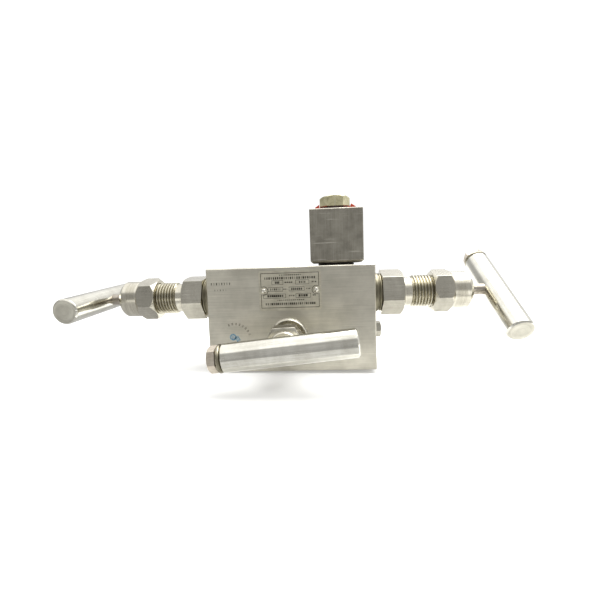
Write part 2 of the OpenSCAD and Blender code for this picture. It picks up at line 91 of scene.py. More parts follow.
def worked_metal(name, light, dark, rough, marks, depth, cloud=9, scratches=0.35, along="bar", groove_dirt_and_shade=None):
    """A bare metal with tool marks.

    marks are the marks' sizes in mm, along the bar or round a turned piece, and depth is how deep
    they are. cloud is the size of the slow stains. groove_dirt_and_shade is a darker colour for a
    thread's grooves: grease and dust, and painted shade down towards their roots.
    """
    made = bpy.data.materials.new(name)
    made.use_nodes = True
    tree = made.node_tree
    tree.nodes.clear()
    if along == "bar":
        place = add(tree, "ShaderNodeTexCoord")
        mm = add(tree, "ShaderNodeVectorMath", [(place, "Object"), (1 / MM,) * 3], operation="MULTIPLY")
    else:
        lay = add(tree, "ShaderNodeAttribute", attribute_name="lay")
        mm = add(tree, "ShaderNodeVectorMath", [(lay, "Vector"), (1, 1, 1)], operation="MULTIPLY")
    stretch = add(tree, "ShaderNodeVectorMath", [mm, [1 / size for size in marks]], operation="MULTIPLY")
    tool = add(tree, "ShaderNodeTexNoise", {"Vector": stretch, "Scale": 1, "Detail": 4, "Roughness": 0.65})
    haze = add(tree, "ShaderNodeTexNoise", {
        "Vector": mm, "Scale": 1 / cloud, "Detail": 3, "Roughness": 0.6,
    })
    # scratches: long thin streaks of noise, laid askew to the tool marks
    tilt = add(tree, "ShaderNodeMapping", {
        "Vector": mm, "Rotation": (0.4, 0.9, 0.3), "Scale": (0.05, 1.9, 1.9),
    })
    streak = add(tree, "ShaderNodeTexNoise", {"Vector": tilt, "Scale": 1, "Detail": 1})
    nick = add(tree, "ShaderNodeMapRange", {0: streak, 1: 0.70, 2: 0.76, 3: 0.0, 4: scratches})
    blend = add(tree, "ShaderNodeMath", [tool, 0.45], operation="MULTIPLY")
    blend = add(tree, "ShaderNodeMath", [haze, 0.55, blend], operation="MULTIPLY_ADD")
    shade = add(tree, "ShaderNodeMapRange", {0: blend, 1: 0.38, 2: 0.62})
    colour = add(tree, "ShaderNodeMix", {0: shade, 6: linear(dark), 7: linear(light)}, data_type="RGBA")
    bare = add(tree, "ShaderNodeMath", [nick, 0.8], operation="MULTIPLY")
    colour = add(tree, "ShaderNodeMix", {0: bare, 6: (colour, 2), 7: linear(BARE_METAL)}, data_type="RGBA")
    # painted shade and dirt: the colour darkens towards each groove's root, as far as the groove attribute
    # says
    if groove_dirt_and_shade:
        groove = add(tree, "ShaderNodeAttribute", attribute_name="groove")
        colour = add(tree, "ShaderNodeMix", {
            0: (groove, "Fac"), 6: (colour, 2), 7: linear(groove_dirt_and_shade),
        }, data_type="RGBA")
    dull = add(tree, "ShaderNodeMapRange", {0: blend, 1: 0.35, 2: 0.65, 3: rough[1], 4: rough[0]})
    dull = add(tree, "ShaderNodeMath", [nick, 0.25, dull], operation="MULTIPLY_ADD")
    relief = add(tree, "ShaderNodeMath", [tool, nick], operation="SUBTRACT")
    bump = add(tree, "ShaderNodeBump", {"Strength": 1, "Distance": depth * MM, "Height": relief})
    metal = add(tree, "ShaderNodeBsdfPrincipled", {
        "Base Color": (colour, 2), "Metallic": 1.0, "Roughness": dull, "Normal": bump,
    })
    add(tree, "ShaderNodeOutputMaterial", [metal])
    return made


def show(mesh, name, body, materials=(), stands_for=()):
    """Puts a finished mesh in the scene as a piece that rides on a body."""
    for material in materials:
        mesh.materials.append(material)
    piece = bpy.data.objects.new(name, mesh)
    scene.collection.objects.link(piece)
    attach(piece, body)
    if stands_for:
        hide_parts(*stands_for)
    return piece


def even_shading(piece):
    """Keeps broad faces flat beside their eased edges."""
    even = piece.modifiers.new("even shading", "WEIGHTED_NORMAL")
    even.keep_sharp = True
    even.weight = 80
    return piece


def softened(node, name, body, material, edge):
    """A drilled block's own shape with its sharp edges rounded by edge millimetres."""
    shape = bmesh.new()
    shape.from_mesh(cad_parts[node].data)
    bmesh.ops.remove_doubles(shape, verts=shape.verts, dist=0.002 * MM)
    bmesh.ops.dissolve_limit(shape, angle_limit=math.radians(1), verts=shape.verts, edges=shape.edges)
    mesh = bpy.data.meshes.new(name)
    shape.to_mesh(mesh)
    shape.free()
    piece = show(mesh, name, body, [material], [node])
    mesh.shade_smooth()
    round_off = piece.modifiers.new("broken edges", "BEVEL")
    round_off.width = edge * MM
    round_off.segments = 2
    round_off.limit_method = "ANGLE"
    round_off.angle_limit = math.radians(30)
    return even_shading(piece)


# Belt-linished bar: long fine lines lie lengthwise and soften every reflection
linished_bar = worked_metal(
    "linished stainless bar", "#c9c5b7", "#b0ac9f", (0.34, 0.46), (22, 0.4, 0.4), 0.004, cloud=14
)
softened("manifold_body", "manifold_body_bar", "manifold", linished_bar, 0.14)

# ---- Threads in the ports and mounting holes ------------------------------
# Cut screw threads: 3/8 in pipe threads in the three open ports and M8
# threads in the two holes in the back. Each is one V-groove wound along a helix.


STEPS = 12  # rows of points in one turn of a thread
COLUMNS = 97  # points round it, the last on top of the first


def thread_tree():
    """A threaded sleeve along +Z: a helical outer face, two flat ends and a plain core."""
    tree = bpy.data.node_groups.new("screw thread", "GeometryNodeTree")
    sizes = ("Crest radius", "Root radius", "Core radius", "Pitch", "Start", "End")
    for name in sizes:
        tree.interface.new_socket(name=name, in_out="INPUT", socket_type="NodeSocketFloat")
    tree.interface.new_socket(name="Material", in_out="INPUT", socket_type="NodeSocketMaterial")
    tree.interface.new_socket(name="Geometry", in_out="OUTPUT", socket_type="NodeSocketGeometry")
    given = add(tree, "NodeGroupInput")
    crest, root, core, pitch, start, end = [(given, name) for name in sizes]
    # rows run up the helix, and three more close the ends and the core
    length = add(tree, "ShaderNodeMath", [end, start], operation="SUBTRACT")
    turns = add(tree, "ShaderNodeMath", [length, pitch], operation="DIVIDE")
    rows = add(tree, "ShaderNodeMath", [turns, STEPS, STEPS + 2], operation="MULTIPLY_ADD")
    rows = add(tree, "ShaderNodeMath", [rows], operation="FLOOR")
    count = add(tree, "ShaderNodeMath", [rows, 3], operation="ADD")
    grid = add(tree, "GeometryNodeMeshGrid", {
        "Size X": 1, "Size Y": 1, "Vertices X": COLUMNS, "Vertices Y": count,
    })
    spot = add(tree, "ShaderNodeSeparateXYZ", [add(tree, "GeometryNodeInputPosition")])
    turn = add(tree, "ShaderNodeMath", [(spot, "X"), 0.5], operation="ADD")
    angle = add(tree, "ShaderNodeMath", [turn, 2 * math.pi], operation="MULTIPLY")
    row = add(tree, "ShaderNodeMath", [(spot, "Y"), 0.5], operation="ADD")
    last = add(tree, "ShaderNodeMath", [count, 1], operation="SUBTRACT")
    row = add(tree, "ShaderNodeMath", [row, last], operation="MULTIPLY")
    row = add(tree, "ShaderNodeMath", [row], operation="ROUND")
    # how far up the thread this point is, in turns, and where that is in the groove
    wound = add(tree, "ShaderNodeMath", [row, 1], operation="SUBTRACT")
    share = add(tree, "ShaderNodeMath", [wound, STEPS], operation="DIVIDE")
    phase = add(tree, "ShaderNodeMath", [share], operation="FRACT")
    back = add(tree, "ShaderNodeMath", [1, phase], operation="SUBTRACT")
    near = add(tree, "ShaderNodeMath", [phase, back], operation="MINIMUM")
    height = add(tree, "ShaderNodeMapRange", {0: near, 1: 1 / STEPS, 2: 5 / STEPS})
    climb = add(tree, "ShaderNodeMath", [share, turn], operation="ADD")
    climb = add(tree, "ShaderNodeMath", [climb, 1], operation="SUBTRACT")
    rise = add(tree, "ShaderNodeMath", [climb, pitch, start], operation="MULTIPLY_ADD")
    rise = add(tree, "ShaderNodeClamp", [rise, start, end])
    # the crest runs out over the last half turn at either end
    from_start = add(tree, "ShaderNodeMath", [rise, start], operation="SUBTRACT")
    from_end = add(tree, "ShaderNodeMath", [end, rise], operation="SUBTRACT")
    spare = add(tree, "ShaderNodeMath", [from_start, from_end], operation="MINIMUM")
    fade = add(tree, "ShaderNodeMath", [spare, pitch], operation="DIVIDE")
    fade = add(tree, "ShaderNodeMapRange", {0: fade, 1: 0, 2: 0.5})
    height = add(tree, "ShaderNodeMath", [height, fade], operation="MULTIPLY")
    step = add(tree, "ShaderNodeMath", [crest, root], operation="SUBTRACT")
    radius = add(tree, "ShaderNodeMath", [step, height, root], operation="MULTIPLY_ADD")
    # first and last row close the sleeve on its core
    low = add(tree, "ShaderNodeMath", [row, 0.5], operation="LESS_THAN")
    top_row = add(tree, "ShaderNodeMath", [last, 1.5], operation="SUBTRACT")
    high = add(tree, "ShaderNodeMath", [row, top_row], operation="GREATER_THAN")
    shut_row = add(tree, "ShaderNodeMath", [last, 0.5], operation="SUBTRACT")
    shut = add(tree, "ShaderNodeMath", [row, shut_row], operation="GREATER_THAN")
    radius = add(tree, "GeometryNodeSwitch", {0: low, 1: radius, 2: core}, input_type="FLOAT")
    radius = add(tree, "GeometryNodeSwitch", {0: high, 1: radius, 2: core}, input_type="FLOAT")
    rise = add(tree, "GeometryNodeSwitch", {0: low, 1: rise, 2: start}, input_type="FLOAT")
    rise = add(tree, "GeometryNodeSwitch", {0: high, 1: rise, 2: end}, input_type="FLOAT")
    rise = add(tree, "GeometryNodeSwitch", {0: shut, 1: rise, 2: start}, input_type="FLOAT")
    cosine = add(tree, "ShaderNodeMath", [angle], operation="COSINE")
    sine = add(tree, "ShaderNodeMath", [angle], operation="SINE")
    x = add(tree, "ShaderNodeMath", [cosine, radius], operation="MULTIPLY")
    y = add(tree, "ShaderNodeMath", [sine, radius], operation="MULTIPLY")
    place = add(tree, "ShaderNodeCombineXYZ", [x, y, rise])
    wrapped = add(tree, "GeometryNodeSetPosition", {"Geometry": grid, "Position": place})
    joined = add(tree, "GeometryNodeMergeByDistance", {"Geometry": wrapped, "Distance": 0.001 * MM})
    real = add(tree, "GeometryNodeRealizeInstances", [joined])
    dressed = add(tree, "GeometryNodeSetMaterial", {"Geometry": real, "Material": (given, "Material")})
    add(tree, "NodeGroupOutput", [dressed])
    return tree


def grown(tree, settings):
    """The mesh a node tree makes with these settings, as a plain mesh."""
    holder = bpy.data.objects.new("holder", bpy.data.meshes.new("holder"))
    scene.collection.objects.link(holder)
    maker = holder.modifiers.new("maker", "NODES")
    maker.node_group = tree
    for socket in tree.interface.items_tree:
        if socket.in_out == "INPUT" and socket.name in settings:
            maker[socket.identifier] = settings[socket.name]
    bpy.context.view_layer.update()
    seen = bpy.context.evaluated_depsgraph_get()
    mesh = bpy.data.meshes.new_from_object(holder.evaluated_get(seen))
    holder.modifiers.remove(maker)
    bpy.data.objects.remove(holder)
    return mesh


def mark_lay(mesh):
    """Notes how each point lies on a piece turned about Z, in mm, so that tool marks can run round it."""
    lay = mesh.attributes.new("lay", "FLOAT_VECTOR", "POINT")
    for vertex, mark in zip(mesh.vertices, lay.data):
        x, y, z = vertex.co / MM
        radius = math.hypot(x, y) or 1.0
        mark.vector = (z + 1.37 * radius, 4 * x / radius, 4 * y / radius)


def face_outwards(mesh):
    """Joins doubled points and turns every face outwards."""
    shape = bmesh.new()
    shape.from_mesh(mesh)
    bmesh.ops.remove_doubles(shape, verts=shape.verts, dist=0.001 * MM)
    bmesh.ops.recalc_face_normals(shape, faces=shape.faces)
    shape.to_mesh(mesh)
    shape.free()


screw_thread = thread_tree()


def thread(crest, root, core, pitch, start, end, place, material):
    """One screw thread as a mesh, sizes in mm."""
    mesh = grown(screw_thread, {
        "Crest radius": crest * MM, "Root radius": root * MM, "Core radius": core * MM,
        "Pitch": pitch * MM, "Start": start * MM, "End": end * MM, "Material": material,
    })
    face_outwards(mesh)
    mark_lay(mesh)
    # how deep each point lies in its groove, from crest to root, for the painted groove shade and dirt
    groove = mesh.attributes.new("groove", "FLOAT", "POINT")
    for vertex, dirt_and_shade in zip(mesh.vertices, groove.data):
        deep = (crest - math.hypot(*vertex.co[:2]) / MM) / (crest - root)
        dirt_and_shade.value = min(max(deep, 0), 1)
    mesh.transform(place)
    mesh.shade_smooth()
    mesh.set_sharp_from_angle(angle=math.radians(25))
    return mesh


def shift(x, y, z):
    """A move by x, y, z in mm."""
    return Matrix.Translation(Vector((x, y, z)) * MM)


def turned_about(degrees, axis):
    """A turn about one axis, in degrees."""
    return Matrix.Rotation(math.radians(degrees), 4, axis)


# Freshly cut stainless: fine rings round the piece from the lathe tool
turned_stainless = worked_metal(
    "turned stainless", "#d4d0c2", "#b0ab9c", (0.17, 0.27), (0.35, 9, 9), 0.0025, cloud=7, along="lathe"
)

# Cut thread: the same steel, with grease and dust left down in the grooves, and painted shade there too
cut_thread = worked_metal(
    "cut stainless thread", "#cfcab8", "#a59f8d", (0.22, 0.34), (0.35, 9, 9), 0.004, cloud=6, along="lathe",
    groove_dirt_and_shade="#8a8471",
)

body_low, body_high = [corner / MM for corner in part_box("manifold_body")]
process_x, instrument_x, mounting_x, mounting_z = 28.6, 27, 20, 31.75
# each kind of hole: radius, pitch and depth in mm
pipe_hole = (8.55, 1.411, 11.5)
bolt_hole = (3.4, 1.25, 10)
into_top, into_back = turned_about(180, "X"), turned_about(90, "X")
cut_threads = {
    "left_process_port_thread": (shift(-process_x, 0, body_high.z) @ into_top, pipe_hole),
    "left_instrument_port_thread": (shift(-instrument_x, 0, body_low.z), pipe_hole),
    "right_instrument_port_thread": (shift(instrument_x, 0, body_low.z), pipe_hole),
    "left_mounting_thread": (shift(-mounting_x, body_high.y, mounting_z) @ into_back, bolt_hole),
    "right_mounting_thread": (shift(mounting_x, body_high.y, mounting_z) @ into_back, bolt_hole),
}
for name, (place, (hole_r, pitch, deep)) in cut_threads.items():
    crest, root, buried = hole_r - 0.5 * pitch, hole_r - 0.02, hole_r + 0.25
    mesh = thread(crest, root, buried, pitch, 0.8, deep - 1.2, place, cut_thread)
    show(mesh, name, "manifold")

# ---- Marks on the body's front --------------------------------------------
# The melt and test marks that a body carries: rows of small punched strokes at
# the left end and an arc of them lower down. They are plain strokes, cut with a
# blunt punch.


def strokes_tree():
    """A row of upright strokes of uneven width along X, centred on the origin and standing out of XZ."""
    tree = bpy.data.node_groups.new("row of strokes", "GeometryNodeTree")
    for name, kind in (
        ("Length", "Float"), ("Height", "Float"), ("Thickness", "Float"), ("Least fill", "Float"),
        ("Most fill", "Float"), ("Count", "Int"), ("Seed", "Int"), ("Material", "Material"),
    ):
        tree.interface.new_socket(name=name, in_out="INPUT", socket_type="NodeSocket" + kind)
    tree.interface.new_socket(name="Geometry", in_out="OUTPUT", socket_type="NodeSocketGeometry")
    given = add(tree, "NodeGroupInput")
    step = add(tree, "ShaderNodeMath", [(given, "Length"), (given, "Count")], operation="DIVIDE")
    left = add(tree, "ShaderNodeMath", [step, (given, "Length")], operation="SUBTRACT")
    left = add(tree, "ShaderNodeMath", [left, 0.5], operation="MULTIPLY")
    first = add(tree, "ShaderNodeCombineXYZ", [left])
    gap = add(tree, "ShaderNodeCombineXYZ", [step])
    line = add(tree, "GeometryNodeMeshLine", {
        "Count": (given, "Count"), "Start Location": first, "Offset": gap,
    }, mode="OFFSET")
    width = add(tree, "FunctionNodeRandomValue", {
        2: (given, "Least fill"), 3: (given, "Most fill"), "Seed": (given, "Seed"),
    }, data_type="FLOAT")
    width = add(tree, "ShaderNodeMath", [(width, 1), step], operation="MULTIPLY")
    size = add(tree, "ShaderNodeCombineXYZ", [width, (given, "Thickness"), (given, "Height")])
    stroke = add(tree, "GeometryNodeMeshCube", {"Size": (1, 1, 1)})
    row = add(tree, "GeometryNodeInstanceOnPoints", {"Points": line, "Instance": stroke, "Scale": size})
    real = add(tree, "GeometryNodeRealizeInstances", [row])
    dressed = add(tree, "GeometryNodeSetMaterial", {"Geometry": real, "Material": (given, "Material")})
    add(tree, "NodeGroupOutput", [dressed])
    return tree


row_of_strokes = strokes_tree()


def joined(meshes):
    """Several meshes as one, with their materials kept apart."""
    materials = []
    shape = bmesh.new()
    for mesh in meshes:
        before = len(shape.faces)
        shape.from_mesh(mesh)
        shape.faces.ensure_lookup_table()
        places = []
        for material in mesh.materials:
            if material not in materials:
                materials.append(material)
            places.append(materials.index(material))
        for face in shape.faces[before:]:
            face.material_index = places[face.material_index] if places else 0
    made = bpy.data.meshes.new("joined")
    shape.to_mesh(made)
    shape.free()
    for material in materials:
        made.materials.append(material)
    return made


def strokes(x0, x1, z, height, count, material, y, seed=1, fill=(0.35, 0.8), thick=0.03, turn=0):
    """A row of strokes on a front face at depth y, from x0 to x1 in mm, turned about its middle."""
    mesh = grown(row_of_strokes, {
        "Length": (x1 - x0) * MM, "Height": height * MM, "Thickness": thick * MM, "Least fill": fill[0],
        "Most fill": fill[1], "Count": count, "Seed": seed, "Material": material,
    })
    mesh.transform(shift((x0 + x1) / 2, y, z) @ turned_about(turn, "Y"))
    return mesh


# Punched stroke: matt oxide worn back to grey, with a little metal showing
punched = worked_metal("punched stroke", "#87837a", "#58554d", (0.5, 0.7), (0.6, 0.6, 0.6), 0.01, cloud=3)
front = body_low.y
stamps = [
    strokes(-48.4, -35.6, 54.4, 1.5, 8, punched, front, seed=4, fill=(0.2, 0.55)),
    strokes(-46.5, -38, 50.6, 1.0, 5, punched, front, seed=9, fill=(0.1, 0.3)),
]
arc_centre_x, arc_centre_z, arc_r = -34.6, 20.4, 9.4
for i in range(8):
    angle = math.radians(112 - 13.5 * i)
    x = arc_centre_x + arc_r * math.cos(angle)
    z = arc_centre_z + arc_r * math.sin(angle)
    stamps.append(strokes(
        x - 0.55, x + 0.55, z, 1.5, 2, punched, front, seed=20 + i, fill=(0.3, 0.75),
        turn=90 - math.degrees(angle),
    ))
show(joined(stamps), "stamped_marks", "manifold")

# ---- Nameplate ------------------------------------------------------------
# Thin stainless plate, chemically etched with ruled panels and blank lines and
# filled with dark enamel, held by two round-head drive rivets.

# Etched plate: satin, slightly warmer and paler than the body
etched_plate = worked_metal(
    "etched stainless plate", "#cfcab8", "#b3ae9d", (0.34, 0.46), (5, 0.5, 0.5), 0.003, cloud=6,
    scratches=0.2,
)
# Enamel in the etched lines: dark, a little worn
enamel = worked_metal(
    "worn dark enamel", "#524f47", "#2e2c28", (0.45, 0.6), (0.8, 0.5, 0.5), 0.004, cloud=2
)
softened("nameplate", "nameplate_plate", "manifold", etched_plate, 0.08)
plate_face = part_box("nameplate")[0].y / MM
# rows of strokes: left end, right end, height above the base, stroke height, how many, and how full
faint, usual, bold, uneven = (0.3, 0.7), (0.35, 0.8), (0.5, 0.95), (0.2, 0.85)
rows = (
    (-6.5, 7, 58.6, 0.7, 12, faint), (-15.4, 15.4, 56.8, 1.4, 24, uneven), (-3.2, 1.8, 54.2, 0.8, 4, usual),
    (13, 16, 54.2, 0.8, 3, usual), (-9, -6, 54.2, 1.4, 3, (0.5, 0.9)), (5.4, 9.6, 54.2, 1.2, 4, faint),
    (-4, -1.3, 50.2, 0.7, 3, usual), (9.6, 12.3, 50.2, 0.7, 3, usual), (-12, -5.4, 50.2, 1.2, 6, faint),
    (0.6, 7.6, 50.2, 1.3, 6, (0.4, 0.85)), (-13.8, -3.8, 46.2, 1.4, 8, bold),
    (-0.8, 2.7, 46.2, 0.7, 3, usual), (5, 10.6, 46.2, 1.4, 4, bold), (13.4, 15.4, 46.2, 0.7, 2, usual),
    (-8, 8.6, 43.6, 0.7, 14, faint), (-15.2, 15.2, 41.4, 1.4, 25, uneven),
)
etching = [
    strokes(x0, x1, z, tall, count, enamel, plate_face, seed=seed, fill=fill)
    for seed, (x0, x1, z, tall, count, fill) in enumerate(rows, 1)
]


def rule(x, z, long, tall, turn=0):
    """One ruled line, centred on x and z."""
    line = strokes(x - long / 2, x + long / 2, z, tall, 1, enamel, plate_face, fill=(1, 1), turn=turn)
    etching.append(line)


panel_line, border_line = 0.22, 0.32
for x0, x1, z0, z1 in (
    (-10.7, -4, 53, 55.4), (3.5, 11.5, 53, 55.4), (-13.1, -4.3, 49, 51.4), (-0.5, 8.6, 49, 51.4),
    (-16, -2.7, 44.9, 47.4), (3.5, 12.3, 44.9, 47.4),
):
    for z in (z0, z1):
        rule((x0 + x1) / 2, z, x1 - x0, panel_line)
    for x in (x0, x1):
        rule(x, (z0 + z1) / 2, panel_line, z1 - z0)
# the border steps inwards round each rivet, in an arc of short lines
edge_x, low_z, high_z, rivet_x, rivet_z, gap_r = 17.3, 39.1, 59.8, 15.75, 49.4, 2
arc_r, arc_steps, arc_sweep = 2.5, 12, 230
for z in (low_z, high_z):
    rule(0, z, 2 * edge_x, border_line)
for side in (-1, 1):
    for z0, z1 in ((low_z, rivet_z - gap_r), (rivet_z + gap_r, high_z)):
        rule(side * edge_x, (z0 + z1) / 2, border_line, z1 - z0)
    for i in range(arc_steps):
        off = (i + 0.5) * arc_sweep / arc_steps - arc_sweep / 2
        angle = math.radians(off if side < 0 else 180 - off)
        rule(side * rivet_x + arc_r * math.cos(angle), rivet_z + arc_r * math.sin(angle), 0.9, border_line,
             turn=90 - math.degrees(angle))
show(joined(etching), "nameplate_etching", "manifold")

# ---- Rivets and vent plug -------------------------------------------------
# Drive rivets with domed heads, and a small hexagon plug screwed into the
# cross passage in the right-hand end. Both are turned from bright bar.

EASE_STEPS = (0, 1 / 3, 2 / 3, 1)
BEVEL_CUT = 0.985  # a hexagon's end chamfer starts just inside its flats


def eased(points, ease, closed):
    """An outline with a short curve at each corner."""
    made = []
    for i, (radius, z, slot) in enumerate(points):
        here = Vector((radius, z))
        if not closed and i in (0, len(points) - 1):
            made.append((here, slot))
            continue
        before = Vector(points[i - 1][:2]) - here
        after = Vector(points[(i + 1) % len(points)][:2]) - here
        start = here + before.normalized() * min(ease, 0.4 * before.length)
        end = here + after.normalized() * min(ease, 0.4 * after.length)
        for t in EASE_STEPS:
            made.append((start * (1 - t) ** 2 + here * 2 * t * (1 - t) + end * t * t, slot))
    return made


def hexagon(across, rounding=0.35):
    """Radius of a hexagon bar at an angle from the middle of one flat, its corners slightly rounded."""
    flat = across / 2
    centre = (flat - rounding) / math.cos(math.pi / 6)
    turn_in = math.atan2(rounding / 2, centre + rounding * math.cos(math.pi / 6))

    def radius(angle):
        off = abs((angle + math.pi / 6) % (math.pi / 3) - math.pi / 6)
        from_corner = math.pi / 6 - off
        if from_corner < turn_in:
            bulge = math.sqrt(rounding ** 2 - (centre * math.sin(from_corner)) ** 2)
            return centre * math.cos(from_corner) + bulge
        return flat / math.cos(off)

    return radius


def lathe(outline, place, materials, across=0, ease=0.2, closed=True):
    """A piece turned about Z and placed, round or, with across, hexagonal.

    outline gives its corners as (radius, z) or (radius, z, material), from the hexagon's radius.
    An outline that isn't closed starts and ends on the axis.
    """
    columns = [math.radians(3 * i) for i in range(120)]
    if across:
        for corner in range(30, 390, 60):
            columns += [math.radians(corner + off) for off in (-1.4, -0.8, -0.4, 0.4, 0.8, 1.4)]
    columns.sort()
    hexagon_r = hexagon(across) if across else (lambda angle: 0)
    points, slots = [], []
    for angle in columns:
        column = eased([(*p, 0)[:3] for p in outline(hexagon_r(angle))], ease, closed)
        slots = [slot for _, slot in column]
        points += [(r * math.cos(angle) * MM, r * math.sin(angle) * MM, z * MM) for (r, z), _ in column]
    rows, count = len(slots), len(columns)
    faces, face_slots = [], []
    for c in range(count):
        for r in range(rows if closed else rows - 1):
            a, b = c * rows, (c + 1) % count * rows
            faces.append((a + r, b + r, b + (r + 1) % rows, a + (r + 1) % rows))
            face_slots.append(slots[r])
    mesh = bpy.data.meshes.new("turned")
    mesh.from_pydata(points, [], faces)
    for material in materials:
        mesh.materials.append(material)
    mesh.polygons.foreach_set("material_index", face_slots)
    face_outwards(mesh)
    mark_lay(mesh)
    mesh.transform(place)
    mesh.shade_smooth()
    return mesh


# Bright bar: polished as drawn, so it mirrors its surroundings
bright_bar = worked_metal(
    "bright stainless", "#e2dfd4", "#c5c1b3", (0.12, 0.2), (0.3, 7, 7), 0.002, cloud=5, along="lathe"
)
# Drawn hexagon: a smooth grey skin with faint lines along the bar
drawn_hexagon = worked_metal(
    "drawn stainless hexagon", "#bfbbae", "#a5a195", (0.16, 0.28), (12, 0.22, 0.22), 0.003, cloud=6,
    along="lathe",
)


def rivet(radius):
    """Outline of a domed drive rivet, radius then height in mm, from the face it is driven into."""
    return [(0, -4.5), (0.9, -4.5), (0.9, 0), (1.6, 0), (1.55, 0.42), (1.2, 0.9), (0.65, 1.17), (0, 1.25)]


def turned_piece(mesh, name, body, stands_for):
    """Shows a turned mesh in place of one of the drawing's pieces."""
    even_shading(show(mesh, name, body, [], [stands_for]))


rivets = [
    lathe(rivet, shift(side * rivet_x, plate_face, rivet_z) @ turned_about(90, "X"), [bright_bar],
          ease=0.12, closed=False)
    for side in (-1, 1)
]
turned_piece(joined(rivets), "nameplate_rivets_domed", "manifold", "nameplate_rivets")

vent_y, vent_z, vent_across, vent_head = 3, 21.4, 9.3, 5.6


def vent(h):
    """Outline of the vent plug, h being its hexagon's radius at that angle."""
    low = vent_across / 2 * BEVEL_CUT
    return [(0, -7.5), (2.7, -7.5), (3.27, -6.9), (3.27, 0.02), (h, 0.02, 1),
            (h, vent_head - (h - low) * 0.55), (low, vent_head), (0, vent_head)]


vent_place = shift(body_high.x, vent_y, vent_z) @ turned_about(90, "Y") @ turned_about(8, "Z")
vent_mesh = lathe(vent, vent_place, [bright_bar, drawn_hexagon], vent_across, closed=False)
turned_piece(vent_mesh, "vent_plug_hexagon", "manifold", "vent_plug")

# ---- Valves ---------------------------------------------------------------
# Two block valves on the body's ends and a smaller equaliser valve on its
# front. Each is a turned bonnet with an outside thread, a lock ring against the
# body, a packing nut run onto the thread, and a stem through the middle.

block_valve_z, equaliser_x, equaliser_z = 45.5, -1.4, 21.4
valves = {
    "left": {
        "place": shift(body_low.x, 0, block_valve_z) @ turned_about(-90, "Y"), "small": False,
        "bonnet_turn": -70.5, "nut_turn": -79.3, "bar_turn": 265,
    },
    "right": {
        "place": shift(body_high.x, 0, block_valve_z) @ turned_about(90, "Y"), "small": False,
        "bonnet_turn": -102.7, "nut_turn": -104, "bar_turn": -55.7,
    },
    "equaliser": {
        "place": shift(equaliser_x, front, equaliser_z) @ turned_about(90, "X"), "small": True,
        "bonnet_turn": 0, "nut_turn": 92, "bar_turn": 5.6,
    },
}
# lengths are in mm from the body's face along the stem, and "reach" is the handle bar's axis
block_sizes = {
    "socket_r": 9.5, "socket": 12, "ring_r": 12.35, "ring": 5.2, "across": 25.2, "hex_end": 18.6,
    "neck_r": 9.1, "neck": 23.6, "crest_r": 10.05, "pitch": 1.814, "end": 42.5, "box_r": 6.35, "box": 24.5,
    "nut": 36.4, "nut_across": 23.7, "nut_end": 48.3, "nut_steep": 1.1, "cap_r": 11.55, "cap": 59.5,
    "screw_r": 4.75, "screw": (-4, 12.5), "seat": 18, "spindle_r": 4, "spindle": -16, "reach": 75.8,
}
small_sizes = {
    "socket_r": 8.5, "socket": 8, "ring_r": 11.5, "ring": 5.2, "across": 0, "hex_end": 5.2,
    "neck_r": 7.4, "neck": 7.4, "crest_r": 8.25, "pitch": 1.5, "end": 23, "box_r": 5.5, "box": 9.5,
    "nut": 17.5, "nut_across": 20.4, "nut_end": 28.8, "nut_steep": 0.45, "cap_r": 8.25, "cap": 30.3,
    "screw_r": 4.3, "screw": (-5, 2.6), "seat": 6.4, "spindle_r": 3.5, "spindle": -9.7, "reach": 37.8,
}
stem_r, play = 3.5, 0.05
thread_depth = 0.58  # of a pitch


def bonnet(s):
    """Outline of a bonnet: socket spigot, hexagon, neck and the core under its thread."""
    root = s["crest_r"] - thread_depth * s["pitch"] - 0.05
    low = s["across"] / 2 * BEVEL_CUT
    bore = s["screw_r"] + play
    cone = s["screw_r"] - stem_r

    def outline(h):
        made = [(bore, -s["socket"]), (s["socket_r"], -s["socket"]), (s["socket_r"], s["ring"])]
        if h:
            made += [(h, s["ring"], 1), (h, s["hex_end"] - (h - low) * 0.55), (low, s["hex_end"])]
        return made + [
            (s["neck_r"], s["hex_end"]), (s["neck_r"], s["neck"]), (root, s["neck"]), (root, s["end"]),
            (s["box_r"], s["end"]), (s["box_r"], s["box"]), (stem_r + play, s["box"]),
            (stem_r + play, s["seat"] + cone), (bore, s["seat"]),
        ]

    return outline


def lock_ring(s):
    """Outline of a lock ring, with a groove turned round it."""
    inner, outer, end = s["socket_r"] + 0.03, s["ring_r"], s["ring"]

    def outline(h):
        return [(inner, 0), (outer - 0.4, 0), (outer, 0.4), (outer, end * 0.55), (outer - 0.8, end * 0.62),
                (outer - 0.8, end * 0.72), (outer - 0.3, end * 0.78), (outer - 0.3, end - 0.5),
                (outer - 0.8, end), (inner, end)]

    return outline


def packing_nut(s):
    """Outline of a packing nut: a hexagon chamfered at both ends, then a round cap."""
    low = s["nut_across"] / 2 * BEVEL_CUT
    bevel = min(1.8, (s["cap"] - s["nut_end"]) * 0.6)
    bore = s["crest_r"] + 0.03

    def outline(h):
        slope = (h - low) * s["nut_steep"]
        return [(bore, s["nut"]), (low, s["nut"]), (h, s["nut"] + slope, 1), (h, s["nut_end"] - slope),
                (low, s["nut_end"]), (s["cap_r"], s["nut_end"]), (s["cap_r"], s["cap"] - bevel),
                (s["cap_r"] - 0.8 * bevel, s["cap"]), (stem_r + play, s["cap"]),
                (stem_r + play, s["end"] + 0.6), (bore, s["end"] + 0.6)]

    return outline


